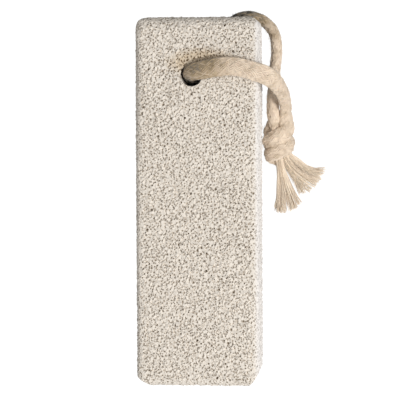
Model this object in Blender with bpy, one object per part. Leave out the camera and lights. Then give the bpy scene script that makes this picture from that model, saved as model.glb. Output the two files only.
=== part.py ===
"""A pumice stone on a soft cotton cord, lying on its back.

The stone is a sawn block with rounded edges, worn corners, pits all over and one drilled hole. The cord goes
through the hole as a loop: one leg lies over the front face and the right edge, the other under the stone and round
its top right corner. Both end in an overhand knot beside the stone, and two frayed ends come out of the knot.

Metres, +Z up. +Y is towards the end with the hole, and +X is the side that the cord lies on. The origin is under the
middle of the stone, on the surface that it lies on. The cord under the stone holds that end a little higher.
"""

import math
import random

import bmesh
import bpy
from mathutils import Matrix, Vector
from mathutils.geometry import delaunay_2d_cdt

# The stone
STONE_WIDTH = 0.0394
STONE_LENGTH = 0.120
STONE_THICKNESS = 0.0245
EDGE_RADIUS = 0.002
EDGE_STEP = 0.006
EDGE_WEAR = 0.0004
STONE_PITCH = math.radians(2.8)
# A worn corner: its side, its end, and what is gone along the width and along the length.
WORN_CORNERS = ((-1, -1, 0.0039, 0.0028), (1, -1, 0.0031, 0.0044), (-1, 1, 0.0020, 0.0020), (1, 1, 0.0016, 0.0016))
WEAR_SHARE = 0.85

# The hole for the cord
HOLE_DIAMETER = 0.0072
HOLE_FROM_END = 0.0186
HOLE_OFF_CENTRE = -0.00175
HOLE_CHAMFER = 0.0003
HOLE_SIDES = 20

# The pits
PIT_SEED = 7
PIT_RADIUS_LEAST = 0.0007
PIT_RADIUS_MOST = 0.0016
PIT_DEPTH = 0.8
PIT_SPACE = 0.0008
PITS_PER_AREA = 34000
PIT_TRIES = 60

# The flat patch on the back, with no pits, that a support touches
REST_CENTRE_Y = -0.040
REST_SIDE = 0.012

# The cord
CORD_DIAMETER = 0.0042
CORD_STEPS = 2
# From the knot up over the right edge, across the front face, down the hole, under the stone, out past its end, round
# the corner and back to the knot.
CORD_ROUTE = (
    (0.0276, 0.0277, 0.0068),
    (0.0278, 0.0290, 0.0070),
    (0.0281, 0.0312, 0.0098),
    (0.0279, 0.0340, 0.0158),
    (0.0269, 0.0364, 0.0214),
    (0.0250, 0.0388, 0.0266),
    (0.0228, 0.0402, 0.0300),
    (0.0203, 0.0412, 0.0316),
    (0.0176, 0.0421, 0.0320),
    (0.0140, 0.0430, 0.0321),
    (0.0095, 0.0434, 0.0321),
    (0.0055, 0.0431, 0.0321),
    (0.0025, 0.0423, 0.0319),
    (-0.0003, 0.0416, 0.0309),
    (-0.0012, 0.0413, 0.0283),
    (-0.0012, 0.0415, 0.0230),
    (-0.0012, 0.0421, 0.0120),
    (-0.0012, 0.0425, 0.0064),
    (-0.0009, 0.0432, 0.0041),
    (-0.0001, 0.0450, 0.0026),
    (0.0013, 0.0478, 0.00215),
    (0.0034, 0.0516, 0.00215),
    (0.0062, 0.0562, 0.00215),
    (0.0085, 0.0597, 0.00215),
    (0.0115, 0.0618, 0.00215),
    (0.0150, 0.0624, 0.00215),
    (0.0185, 0.0616, 0.00215),
    (0.0215, 0.0598, 0.00215),
    (0.0235, 0.0575, 0.00215),
    (0.0245, 0.0542, 0.00215),
    (0.0247, 0.0500, 0.00215),
    (0.0241, 0.0450, 0.00215),
    (0.0237, 0.0400, 0.00215),
    (0.0237, 0.0345, 0.00215),
    (0.0239, 0.0300, 0.00270),
    (0.0240, 0.0279, 0.00315),
)

# The knot: for each place along it, its middle across, half its width and half its height.
KNOT_TOP_Y = 0.0271
KNOT_BOTTOM_Y = 0.0117
KNOT_SECTIONS = (
    (0.00, 0.0257, 0.0036, 0.0036),
    (0.12, 0.0254, 0.0046, 0.0044),
    (0.30, 0.0254, 0.0051, 0.0047),
    (0.52, 0.0254, 0.0052, 0.0047),
    (0.75, 0.0257, 0.0043, 0.0043),
    (0.92, 0.0262, 0.0028, 0.0034),
    (1.00, 0.0263, 0.0015, 0.0022),
)
KNOT_MIDDLE_Z = 0.0050
# Two thick wraps of the cord lie across it on a slant, with a furrow between them and one at each side.
KNOT_WRAP_WIDTH = 0.42
KNOT_FURROW = 0.52
KNOT_SLANT = 0.12
KNOT_FURROW_DEPTH = 0.16
KNOT_RINGS = 24
KNOT_SIDES = 24

# The frayed ends: where each starts and where its middle ends, half its width and half its height at both.
FRAYED_ENDS = {
    "frayed_end_lower": ((0.0263, 0.0113, 0.0030), (0.0284, -0.0028, 0.0016), (0.0015, 0.0045), (0.0019, 0.0011)),
    "frayed_end_right": ((0.0293, 0.0130, 0.0030), (0.0372, 0.0070, 0.0016), (0.0019, 0.0057), (0.0019, 0.0011)),
}
FRAY_LOCKS = 7
FRAY_SIDES = 28
FRAY_RINGS = 6
FRAY_GROOVE = 0.16
FRAY_UNEVEN = 0.0009

HALF = Vector((STONE_WIDTH / 2, STONE_LENGTH / 2, STONE_THICKNESS / 2))
HOLE_CENTRE = Vector((HOLE_OFF_CENTRE, HALF.y - HOLE_FROM_END))
RIM_RADIUS = HOLE_DIAMETER / 2 + HOLE_CHAMFER

# The block's six faces: the axis that each looks along, which way, and the two axes across it, in right-hand order.
BLOCK_FACES = ((2, 1, 0, 1), (2, -1, 1, 0), (0, 1, 1, 2), (0, -1, 2, 1), (1, 1, 2, 0), (1, -1, 0, 2))


def clear_scene():
    for obj in list(bpy.data.objects):
        bpy.data.objects.remove(obj, do_unlink=True)


def make_material(name, colour, roughness):
    material = bpy.data.materials.new(name)
    material.use_nodes = True
    shader = material.node_tree.nodes["Principled BSDF"]
    shader.inputs["Base Color"].default_value = (*colour, 1.0)
    shader.inputs["Roughness"].default_value = roughness
    shader.inputs["Metallic"].default_value = 0.0
    return material


def add_object(name, mesh, material):
    obj = bpy.data.objects.new(name, mesh)
    bpy.context.scene.collection.objects.link(obj)
    mesh.materials.append(material)
    return obj


# ---- the stone ----


def edge_stations(half):
    """Places along one edge of the block: its corners, where the rounding starts, and even steps between."""
    flat = half - EDGE_RADIUS
    steps = max(1, round(2 * flat / EDGE_STEP))
    inner = [flat * (2 * i / steps - 1) for i in range(steps + 1)]
    return [-half, *inner, half]


def rectangle_loop(half_a, half_b, inset):
    """The points round a rectangle inside a face, at the edge stations of both of its directions."""
    reach_a, reach_b = half_a - inset, half_b - inset
    along_a = [a for a in edge_stations(half_a) if abs(a) < reach_a - 1e-6]
    along_b = [b for b in edge_stations(half_b) if abs(b) < reach_b - 1e-6]
    loop = [(-reach_a, -reach_b), *((a, -reach_b) for a in along_a)]
    loop += [(reach_a, -reach_b), *((reach_a, b) for b in along_b)]
    loop += [(reach_a, reach_b), *((a, reach_b) for a in reversed(along_a))]
    loop += [(-reach_a, reach_b), *((-reach_a, b) for b in reversed(along_b))]
    return [Vector(p) for p in loop]


def circle_loop(centre, radius, sides):
    turns = (2 * math.pi * i / sides for i in range(sides))
    return [centre + Vector((math.cos(t), math.sin(t))) * radius for t in turns]


def pit_rim(centre, radius, rng):
    """A pit's uneven outline: four corners on a small pit, six on a large one."""
    share = (radius - PIT_RADIUS_LEAST) / (PIT_RADIUS_MOST - PIT_RADIUS_LEAST)
    sides = 4 + min(2, int(3 * share))
    start = rng.uniform(0, 2 * math.pi)
    rim = []
    for i in range(sides):
        turn = start + 2 * math.pi * (i + rng.uniform(-0.2, 0.2)) / sides
        reach = radius * rng.uniform(0.8, 1.15)
        rim.append(centre + Vector((math.cos(turn), math.sin(turn))) * reach)
    return rim


def scatter_pits(half_a, half_b, keep_clear, rng):
    """Pits on one face, as (centre, radius), apart from each other and from what is kept clear."""
    reach_a, reach_b = half_a - EDGE_RADIUS, half_b - EDGE_RADIUS
    wanted = round(4 * reach_a * reach_b * PITS_PER_AREA)
    pits = []
    for _ in range(wanted * PIT_TRIES):
        if len(pits) == wanted:
            break
        radius = PIT_RADIUS_LEAST + (PIT_RADIUS_MOST - PIT_RADIUS_LEAST) * rng.random() ** 1.6
        margin = 1.15 * radius + PIT_SPACE / 2
        spot = Vector((rng.uniform(-1, 1) * (reach_a - margin), rng.uniform(-1, 1) * (reach_b - margin)))
        taken = [*pits, *keep_clear]
        if all((spot - other).length > margin + 1.15 * size + PIT_SPACE for other, size in taken):
            pits.append((spot, radius))
    return pits


def rounded(point):
    """Where a point of the sharp block goes on the rounded one, and the way that the surface looks there."""
    core = Vector(max(EDGE_RADIUS - h, min(h - EDGE_RADIUS, c)) for c, h in zip(point, HALF))
    outward = (point - core).normalized()
    return core + outward * EDGE_RADIUS, outward


def worn(point):
    """The same point once the block's corners have worn away."""
    for side, end, across, along in WORN_CORNERS:
        slope = Vector((side * along, end * across, 0)).normalized()
        limit = slope.dot(Vector((side * (HALF.x - across), end * HALF.y, 0)))
        past = slope.dot(point) - limit
        if past > 0:
            point = point - slope * past * WEAR_SHARE
    return point


class StoneMesh:
    """The stone's mesh, in which the faces of the block share the points on their common edges."""

    def __init__(self, rng):
        self.bm = bmesh.new()
        self.rng = rng
        self.points = {}

    def place(self, sharp, depth=0.0):
        """The vertex for a point of the sharp block, sunk by depth where it is the floor of a pit."""
        key = tuple(round(c * 1e7) for c in sharp)
        if key not in self.points:
            spot, outward = rounded(sharp)
            on_edge = sum(abs(abs(c) - h) < 1e-7 for c, h in zip(sharp, HALF)) > 1
            wear = self.rng.uniform(0, EDGE_WEAR) if on_edge else 0.0
            self.points[key] = self.bm.verts.new(worn(spot - outward * (depth + wear)))
        return self.points[key]

    def add_face(self, axis, way, across_a, across_b):
        """One face of the block, with its pits and, on the front and the back, the rim of the hole."""
        half_a, half_b = HALF[across_a], HALF[across_b]
        spots, edges, floors, keep_clear = [], [], {}, []

        def add_loop(loop):
            first = len(spots)
            spots.extend(loop)
            count = len(loop)
            edges.extend((first + i, first + (i + 1) % count) for i in range(count))

        add_loop(rectangle_loop(half_a, half_b, 0.0))
        add_loop(rectangle_loop(half_a, half_b, EDGE_RADIUS))
        hole = HOLE_CENTRE if across_a == 0 else HOLE_CENTRE.yx
        if axis == 2:
            rim = circle_loop(HOLE_CENTRE, RIM_RADIUS, HOLE_SIDES)
            add_loop(rim if across_a == 0 else [p.yx for p in rim])
            keep_clear.append((hole, RIM_RADIUS))
        if (axis, way) == (2, -1):
            rest = Vector((REST_CENTRE_Y, 0.0))
            corner = REST_SIDE / 2
            add_loop([rest + Vector((a * corner, b * corner)) for a, b in ((-1, -1), (1, -1), (1, 1), (-1, 1))])
            keep_clear.append((rest, corner * math.sqrt(2)))
        for centre, radius in scatter_pits(half_a, half_b, keep_clear, self.rng):
            add_loop(pit_rim(centre, radius, self.rng))
            floors[len(spots)] = PIT_DEPTH * radius * self.rng.uniform(0.75, 1.2)
            spots.append(centre + Vector((self.rng.uniform(-0.2, 0.2), self.rng.uniform(-0.2, 0.2))) * radius)

        spots, _, triangles, sources, _, _ = delaunay_2d_cdt(spots, edges, [], 0, 1e-8)
        for triangle in triangles:
            middle = sum((spots[i] for i in triangle), Vector((0, 0))) / 3
            if axis == 2 and (middle - hole).length < RIM_RADIUS:
                continue
            corners = []
            for i in triangle:
                sharp = Vector((0, 0, 0))
                sharp[axis] = way * HALF[axis]
                sharp[across_a], sharp[across_b] = spots[i]
                depth = max((floors.get(s, 0.0) for s in sources[i]), default=0.0)
                corners.append(self.place(sharp, depth))
            self.bm.faces.new(corners)

    def add_hole(self):
        """The hole's wall, from the rim on the front face through to the rim on the back face."""
        bore = HOLE_DIAMETER / 2
        neck = HALF.z - HOLE_CHAMFER
        rings = []
        for level, radius in ((HALF.z, RIM_RADIUS), (neck, bore), (-neck, bore), (-HALF.z, RIM_RADIUS)):
            loop = [Vector((*p, level)) for p in circle_loop(HOLE_CENTRE, radius, HOLE_SIDES)]
            on_face = radius == RIM_RADIUS
            rings.append([self.place(p) if on_face else self.bm.verts.new(p) for p in loop])
        for upper, lower in zip(rings, rings[1:]):
            for i in range(HOLE_SIDES):
                j = (i + 1) % HOLE_SIDES
                self.bm.faces.new((upper[i], upper[j], lower[j], lower[i]))


def build_stone(material):
    stone = StoneMesh(random.Random(PIT_SEED))
    for face in BLOCK_FACES:
        stone.add_face(*face)
    stone.add_hole()
    bmesh.ops.triangulate(stone.bm, faces=stone.bm.faces)
    bmesh.ops.rotate(stone.bm, verts=stone.bm.verts, cent=(0, 0, 0), matrix=Matrix.Rotation(STONE_PITCH, 3, "X"))
    lowest = min(v.co.z for v in stone.bm.verts)
    middle_y = (min(v.co.y for v in stone.bm.verts) + max(v.co.y for v in stone.bm.verts)) / 2
    bmesh.ops.translate(stone.bm, verts=stone.bm.verts, vec=(0, -middle_y, -lowest))
    mesh = bpy.data.meshes.new("pumice_stone")
    stone.bm.to_mesh(mesh)
    stone.bm.free()
    return add_object("pumice_stone", mesh, material)


# ---- the cord ----


def smooth_through(route, steps):
    """A smooth curve through the route's points, with the same number of steps between each two."""
    knots = [Vector(p) for p in route]
    knots = [2 * knots[0] - knots[1], *knots, 2 * knots[-1] - knots[-2]]
    curve = []
    for before, start, end, after in zip(knots, knots[1:], knots[2:], knots[3:]):
        for i in range(steps):
            t = i / steps
            curve.append(
                0.5 * (2 * start + (end - before) * t + (2 * before - 5 * start + 4 * end - after) * t**2
                       + (3 * start - before - 3 * end + after) * t**3)
            )
    curve.append(knots[-2])
    return curve


def build_cord_loop(material):
    points = smooth_through(CORD_ROUTE, CORD_STEPS)
    curve = bpy.data.curves.new("cord_loop", "CURVE")
    curve.dimensions = "3D"
    curve.bevel_depth = CORD_DIAMETER / 2
    curve.bevel_resolution = 3
    curve.use_fill_caps = True
    spline = curve.splines.new("POLY")
    spline.points.add(len(points) - 1)
    for target, point in zip(spline.points, points):
        target.co = (*point, 1.0)
    return add_object("cord_loop", curve, material)


def between(table, place):
    """The values of a table of sections at a place between two of its rows, eased from one to the next."""
    for low, high in zip(table, table[1:]):
        if place <= high[0]:
            share = (place - low[0]) / (high[0] - low[0])
            share = share * share * (3 - 2 * share)
            return [a + (b - a) * share for a, b in zip(low[1:], high[1:])]
    return list(table[-1][1:])


def closed_loft(name, rings, material):
    """A closed solid through rings of the same number of points, with a fan over each end."""
    bm = bmesh.new()
    rows = [[bm.verts.new(p) for p in ring] for ring in rings]
    sides = len(rows[0])
    for near, far in zip(rows, rows[1:]):
        for i in range(sides):
            j = (i + 1) % sides
            bm.faces.new((near[i], near[j], far[j], far[i]))
    for row in (rows[0], rows[-1]):
        middle = bm.verts.new(sum((v.co for v in row), Vector()) / sides)
        for i in range(sides):
            bm.faces.new((row[i], row[(i + 1) % sides], middle))
    bmesh.ops.recalc_face_normals(bm, faces=bm.faces)
    bmesh.ops.triangulate(bm, faces=bm.faces)
    mesh = bpy.data.meshes.new(name)
    bm.to_mesh(mesh)
    bm.free()
    return add_object(name, mesh, material)


def build_knot(material):
    """The overhand knot's outer form: an oval with two wraps of the cord lying across it."""
    rings = []
    for r in range(KNOT_RINGS + 1):
        place = r / KNOT_RINGS
        y = KNOT_TOP_Y + (KNOT_BOTTOM_Y - KNOT_TOP_Y) * place
        middle_x, half_width, half_height = between(KNOT_SECTIONS, place)
        ring = []
        for s in range(KNOT_SIDES):
            turn = 2 * math.pi * s / KNOT_SIDES
            across_wrap = (place - KNOT_FURROW + KNOT_SLANT * math.cos(turn)) / KNOT_WRAP_WIDTH
            swell = 1 - KNOT_FURROW_DEPTH * (1 - abs(math.sin(math.pi * across_wrap))) ** 2
            reach_x = half_width * math.cos(turn) * swell
            reach_z = half_height * math.sin(turn) * swell
            ring.append(Vector((middle_x + reach_x, y, KNOT_MIDDLE_Z + reach_z)))
        rings.append(ring)
    return closed_loft("cord_knot", rings, material)


def build_frayed_end(name, start, end, half_widths, half_heights, material):
    """A cut end of the cord that has opened into locks of loose yarn, flat on the surface."""
    start, end = Vector(start), Vector(end)
    ahead = (end - start).normalized()
    aside = ahead.cross(Vector((0, 0, 1))).normalized()
    above = aside.cross(ahead)
    rings = []
    for r in range(FRAY_RINGS + 1):
        place = r / FRAY_RINGS
        half_width = half_widths[0] + (half_widths[1] - half_widths[0]) * place**1.3
        half_height = half_heights[0] + (half_heights[1] - half_heights[0]) * place
        ring = []
        for s in range(FRAY_SIDES):
            turn = 2 * math.pi * s / FRAY_SIDES
            across = math.cos(turn)
            lock = math.cos(math.pi * FRAY_LOCKS * across)
            height = math.sin(turn) * half_height * (1 + FRAY_GROOVE * place * lock)
            spread = (1 - across * across) * half_width * 0.25 + lock * FRAY_UNEVEN
            spot = start.lerp(end, place) + aside * across * half_width + above * height
            ring.append(spot + ahead * spread * place)
        rings.append(ring)
    return closed_loft(name, rings, material)


def main():
    clear_scene()
    pumice = make_material("pumice", (0.66, 0.59, 0.50), 0.95)
    cotton = make_material("cotton cord", (0.76, 0.62, 0.47), 0.9)
    build_stone(pumice)
    build_cord_loop(cotton)
    build_knot(cotton)
    for name, shape in FRAYED_ENDS.items():
        build_frayed_end(name, *shape, cotton)


main()
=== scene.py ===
# A pumice stone on a soft cotton cord, lying on its back: a sawn block of natural stone with rounded edges
# and open pores, and one length of braided cord that goes through its hole, is tied in an overhand knot and
# frays at both ends.
import math

import bpy
import numpy as np
from mathutils import Matrix, Vector, noise
from mathutils.geometry import delaunay_2d_cdt


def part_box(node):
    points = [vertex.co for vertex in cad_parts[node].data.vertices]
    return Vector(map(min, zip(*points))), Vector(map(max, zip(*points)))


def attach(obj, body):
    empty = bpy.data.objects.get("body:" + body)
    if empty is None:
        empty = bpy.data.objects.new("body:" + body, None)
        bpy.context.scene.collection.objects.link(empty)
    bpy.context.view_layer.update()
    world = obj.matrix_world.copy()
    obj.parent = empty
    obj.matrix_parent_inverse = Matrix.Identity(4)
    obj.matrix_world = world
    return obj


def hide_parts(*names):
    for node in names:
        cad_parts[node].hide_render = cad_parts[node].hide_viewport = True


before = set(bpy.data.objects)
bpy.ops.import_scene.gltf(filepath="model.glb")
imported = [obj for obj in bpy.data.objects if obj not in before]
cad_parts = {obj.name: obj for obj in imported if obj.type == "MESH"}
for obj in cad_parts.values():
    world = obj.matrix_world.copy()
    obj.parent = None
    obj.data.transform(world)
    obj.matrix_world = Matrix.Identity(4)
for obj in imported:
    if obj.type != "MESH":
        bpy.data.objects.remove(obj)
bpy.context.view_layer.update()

MM = 0.001


# ---- The camera ----
# It hangs over the stone and a little to its right, so that a narrow strip of the right side shows. The end
# with the hole is at the top of its view.

CAMERA_PLACE = Vector((54.0, 2.0, 600.0)) * MM
CAMERA_TARGET = Vector((-0.25, 0.2, 14.0)) * MM
CAMERA_ANGLE = math.radians(12.92)


def new_object(name, data):
    """The data as an object in the scene, at the origin."""
    obj = bpy.data.objects.new(name, data)
    bpy.context.scene.collection.objects.link(obj)
    return obj


camera_data = bpy.data.cameras.new("camera")
camera_data.angle = CAMERA_ANGLE
camera_data.clip_start = 0.05
camera_data.clip_end = 20.0
camera = new_object("camera", camera_data)
camera.location = CAMERA_PLACE
camera_back = (CAMERA_PLACE - CAMERA_TARGET).normalized()
camera_right = Vector((0, 1, 0)).cross(camera_back).normalized()
camera_up = camera_back.cross(camera_right)
camera.rotation_euler = Matrix((camera_right, camera_up, camera_back)).transposed().to_euler()
bpy.context.scene.camera = camera


# ---- The cord ----
# Soft undyed cotton in a two-over-two braid: sixteen carriers of three yarns round a few straight core
# yarns. One leg comes up out of the hole, lies flattened on the front face and goes over the right edge;
# the other goes under the stone and round its top right corner. Both run into the knot.

CARRIERS = 16
YARNS_PER_CARRIER = 3
YARN_RADIUS = 0.28 * MM
YARN_SIDES = 5
BRAID_PITCH = 24.0 * MM
BRAID_RELIEF = 0.2 * MM
# How unevenly the yarns lie: a noise's size to a metre, its step from yarn to yarn, and its effects.
UNEVEN_SCALE = 450.0
UNEVEN_STEP = 1.7
UNEVEN_RELIEF = 1.5
UNEVEN_TURN = 0.12
CORE_YARNS = 7
CORE_YARN_RADIUS = 0.75 * MM
CORE_INSET = 1.75
CORE_SIDES = 6
# The loose fibres that stand out of it: how many at each place, their sizes and tones, and how they bend.
HAIRS_PER_PLACE = 12
HAIR_LENGTH = 0.8 * MM
HAIR_RADIUS = 0.02 * MM
HAIR_SIDES = 3
HAIR_LEAN = 0.9
HAIR_TONES = (0.6, 1.4)
HAIR_SIZES = (0.5, 1.4)
HAIR_MIDDLE = (0.0, 0.0, 0.6)
HAIR_END = (0.4, 0.0, 0.9)
# The step along the cord at which its yarns are laid, and the finer one for its smooth course.
PATH_STEP = 0.5 * MM
COURSE_STEP = 0.05
# The stone leans by this, because the cord lies under its end with the hole.
STONE_PITCH = math.radians(2.8)

# Each six are a place of the cord's middle in millimetres, half its width and half its thickness there, and
# its soil and painted shade: brown soil, partly painted shade, where it comes out of the hole, dark painted
# shade inside the hole, grey painted shade under and behind the stone's top end, and faint painted shade over
# the right edge; the knot is a little darker in places. It swells inside the hole, where nothing presses on
# it.
FRONT_LEG = (
    (-1.75, 41.5, 14.0, 3.5, 3.5, 1.0), (-1.75, 41.3, 19.0, 3.5, 3.5, 1.0),
    (-1.9, 41.5, 23.0, 3.1, 3.0, 0.95), (-2.3, 41.7, 26.0, 2.75, 2.6, 0.5),
    (-2.1, 41.75, 28.4, 2.8, 2.4, 0.4), (-0.5, 41.95, 30.1, 2.9, 2.1, 0.38),
    (2.2, 42.35, 30.95, 3.05, 1.8, 0.38), (5.6, 43.0, 31.0, 3.15, 1.65, 0.32),
    (9.5, 43.5, 30.95, 3.1, 1.6, 0.13), (13.6, 43.3, 30.85, 3.1, 1.6, 0.04),
    (17.4, 42.3, 30.8, 3.1, 1.6, 0.01), (20.2, 41.4, 30.4, 3.15, 1.65, 0.0),
    (22.7, 40.5, 28.9, 3.15, 1.75, 0.02), (25.0, 39.0, 25.8, 3.0, 1.85, 0.04),
    (26.8, 36.6, 19.2, 2.6, 1.95, 0.04), (27.8, 33.8, 13.2, 2.4, 1.95, 0.04),
    (28.1, 31.0, 9.6, 2.4, 1.9, 0.04), (28.05, 28.4, 8.1, 2.65, 1.8, 0.04),
    (28.3, 26.0, 7.8, 2.75, 1.65, 0.04), (28.5, 23.8, 8.2, 2.7, 1.5, 0.02),
    (26.8, 21.9, 8.6, 2.8, 1.4, 0.0), (23.6, 20.6, 8.5, 2.7, 1.4, 0.0),
    (21.3, 19.9, 6.4, 2.5, 1.35, 0.0), (22.6, 19.4, 2.4, 2.4, 1.2, 0.1),
    (25.6, 19.2, 1.5, 2.4, 1.2, 0.1), (28.7, 19.6, 2.5, 2.5, 1.3, 0.0),
    (29.8, 19.4, 4.9, 2.7, 1.35, 0.03), (28.8, 18.5, 7.4, 2.8, 1.4, 0.03),
    (25.9, 16.9, 8.4, 2.8, 1.4, 0.0), (23.4, 15.8, 7.9, 2.8, 1.4, 0.0),
    (21.8, 15.7, 5.2, 2.6, 1.3, 0.0), (23.4, 14.5, 3.4, 2.2, 1.25, 0.0),
    (26.0, 13.5, 2.6, 2.0, 1.25, 0.0), (28.4, 12.9, 2.6, 1.9, 1.3, 0.0),
    (30.0, 12.0, 2.4, 1.8, 1.3, 0.0),
)
BACK_LEG = (
    (-1.75, 41.5, 13.7, 3.5, 3.5, 1.0), (-1.7, 41.8, 9.5, 3.4, 3.4, 1.0),
    (-1.4, 42.8, 5.6, 2.7, 2.6, 1.0), (-0.2, 44.9, 3.0, 2.2, 2.0, 0.9),
    (1.9, 47.5, 2.05, 2.1, 1.9, 0.85), (3.8, 51.0, 2.0, 2.1, 1.9, 0.85),
    (5.8, 55.2, 2.0, 2.05, 1.9, 0.85), (8.0, 58.9, 2.0, 2.0, 1.9, 0.85),
    (11.2, 61.5, 2.0, 1.95, 1.9, 0.77), (15.0, 62.4, 2.0, 1.95, 1.9, 0.68),
    (18.4, 61.7, 2.0, 1.95, 1.9, 0.5), (21.4, 59.9, 2.0, 1.95, 1.9, 0.24),
    (23.5, 57.3, 2.0, 1.95, 1.9, 0.13), (24.5, 54.0, 2.0, 1.95, 1.9, 0.06),
    (24.7, 50.0, 2.0, 1.95, 1.9, 0.02), (24.2, 45.0, 2.0, 1.95, 1.9, 0.0),
    (23.9, 40.0, 4.0, 1.95, 1.9, 0.0), (23.75, 34.5, 8.6, 2.05, 1.95, 0.0),
    (23.8, 30.5, 9.4, 2.15, 1.9, 0.0), (24.1, 27.4, 8.9, 2.15, 1.8, 0.0),
    (24.5, 24.6, 7.6, 1.8, 1.5, 0.0), (25.4, 21.0, 5.6, 1.5, 1.2, 0.1),
    (26.3, 17.5, 5.5, 1.4, 1.1, 0.2), (27.2, 15.7, 4.7, 1.3, 1.1, 0.2),
    (27.6, 17.5, 3.8, 1.3, 1.1, 0.2), (27.4, 21.0, 3.6, 1.4, 1.1, 0.2),
    (27.3, 24.5, 3.7, 1.6, 1.3, 0.25), (26.8, 27.8, 4.2, 1.7, 1.4, 0.3),
    (25.2, 29.2, 4.0, 1.7, 1.5, 0.25), (23.8, 27.6, 3.6, 1.8, 1.6, 0.1),
    (22.1, 23.9, 5.0, 1.9, 1.6, 0.0), (22.0, 22.1, 5.2, 1.9, 1.5, 0.0),
    (23.2, 19.8, 4.2, 1.6, 1.2, 0.2), (24.5, 16.8, 4.0, 1.5, 1.2, 0.2),
    (25.4, 14.2, 3.8, 1.5, 1.3, 0.2), (25.8, 12.0, 3.2, 1.5, 1.4, 0.1),
)
# Where each leg's flat side lies upwards.
FRONT_FLAT_PLACE = (9.5, 43.5, 31.2)
BACK_FLAT_PLACE = (15.0, 62.4, 2.0)
# The knot's wraps turn their flat sides away from this x and z, fully from the shoulder on.
KNOT_AXIS = (25.4, 4.95)
KNOT_TOP = 29.0
KNOT_SHOULDER = 25.0
KNOT_FLATNESS = np.array((0.6, 1.0, 1.0))


def smooth_through(rows, step):
    """A smooth line through the rows, read at even steps along it. All their numbers are carried along."""
    rows = [np.array(row, float) for row in rows]
    ends = [2 * rows[0] - rows[1], *rows, 2 * rows[-1] - rows[-2]]
    fine = []
    for before, start, end, after in zip(ends, ends[1:], ends[2:], ends[3:]):
        for t in np.arange(0, 1, COURSE_STEP):
            fine.append(0.5 * (2 * start + (end - before) * t
                               + (2 * before - 5 * start + 4 * end - after) * t**2
                               + (3 * start - before - 3 * end + after) * t**3))
    fine = np.array([*fine, rows[-1]])
    reach = np.concatenate([[0], np.cumsum(np.linalg.norm(np.diff(fine[:, :3], axis=0), axis=1))])
    stops = np.linspace(0, reach[-1], round(reach[-1] * MM / step) + 1)
    return np.stack([np.interp(stops, reach, column) for column in fine.T], axis=1), stops


def unit(vectors):
    return vectors / np.linalg.norm(vectors, axis=-1, keepdims=True)


def carried_along(ahead, first, start):
    """The direction `start` at the place `first`, carried along a line both ways without twisting."""
    above = np.zeros_like(ahead)
    above[first] = start - ahead[first] * np.dot(start, ahead[first])
    for places in (range(first + 1, len(ahead)), range(first - 1, -1, -1)):
        last = first
        for i in places:
            above[i] = above[last] - ahead[i] * np.dot(above[last], ahead[i])
            above[i] /= np.linalg.norm(above[i])
            last = i
    return unit(above)


def set_attribute(mesh, name, values):
    """Stores a number or a vector for each point of a mesh."""
    values = np.asarray(values, np.float32)
    kind, key = ("FLOAT", "value") if values.ndim == 1 else ("FLOAT_VECTOR", "vector")
    mesh.attributes.new(name, kind, "POINT").data.foreach_set(key, values.ravel())


def cord_line(name, rows, flat_place, knot_wraps):
    """A line along the cord's middle that carries its section, flat side up at `flat_place`, with the places
    along it and its length."""
    line, stops = smooth_through(rows, PATH_STEP)
    places = line[:, :3]
    ahead = unit(np.gradient(places, axis=0))
    first = int(np.argmin(np.linalg.norm(places - np.array(flat_place), axis=1)))
    above = carried_along(ahead, first, np.array((0, -math.sin(STONE_PITCH), math.cos(STONE_PITCH))))
    if knot_wraps:
        outward = places - np.stack([np.full(len(places), KNOT_AXIS[0]), places[:, 1],
                                     np.full(len(places), KNOT_AXIS[1])], axis=1)
        share = np.clip((KNOT_TOP - places[:, 1]) / (KNOT_TOP - KNOT_SHOULDER), 0, 1)[:, None]
        above = above * (1 - share) + unit(outward * KNOT_FLATNESS) * share
        above = unit(above - ahead * np.sum(above * ahead, axis=1, keepdims=True))
    mesh = bpy.data.meshes.new(name)
    mesh.from_pydata((places * MM).tolist(), [(i, i + 1) for i in range(len(places) - 1)], [])
    set_attribute(mesh, "aside", np.cross(above, ahead))
    set_attribute(mesh, "above", above)
    set_attribute(mesh, "half_width", line[:, 3] * MM)
    set_attribute(mesh, "half_height", line[:, 4] * MM)
    set_attribute(mesh, "along", stops * MM)
    # The soil column, which also carries the painted shade.
    set_attribute(mesh, "soil", np.clip(line[:, 5], 0, 1))
    return new_object(name, mesh), places * MM, float(stops[-1] * MM)


class Link:
    """A node's output. Arithmetic on it adds Math nodes, or Vector Math nodes where it is a vector."""

    def __init__(self, graph, socket):
        self.graph = graph
        self.socket = socket

    def joined(self, operation, first, second):
        vectors = [value.socket.type in ("VECTOR", "RGBA") if isinstance(value, Link)
                   else isinstance(value, (tuple, Vector)) for value in (first, second)]
        if operation == "MULTIPLY" and vectors[0] != vectors[1]:
            vector, number = (first, second) if vectors[0] else (second, first)
            return self.graph.node("ShaderNodeVectorMath", {"operation": "SCALE"},
                                   {0: vector, "Scale": number})
        kind = "ShaderNodeVectorMath" if any(vectors) else "ShaderNodeMath"
        return self.graph.node(kind, {"operation": operation}, {0: first, 1: second})

    def maths(self, operation, *others):
        return self.graph.node("ShaderNodeMath", {"operation": operation}, dict(enumerate((self, *others))))

    def held(self):
        """The value, held between 0 and 1."""
        return self.maths("MINIMUM", 1.0).maths("MAXIMUM", 0.0)


def add_operator(name, operation):
    """Lets Links be joined by this operator, to Links or to constants on either side."""
    setattr(Link, f"__{name}__", lambda link, other: link.joined(operation, link, other))
    setattr(Link, f"__r{name}__", lambda link, other: link.joined(operation, other, link))


for operator in (("add", "ADD"), ("sub", "SUBTRACT"), ("mul", "MULTIPLY"), ("truediv", "DIVIDE"),
                 ("pow", "POWER"), ("mod", "FLOORED_MODULO")):
    add_operator(*operator)


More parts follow.
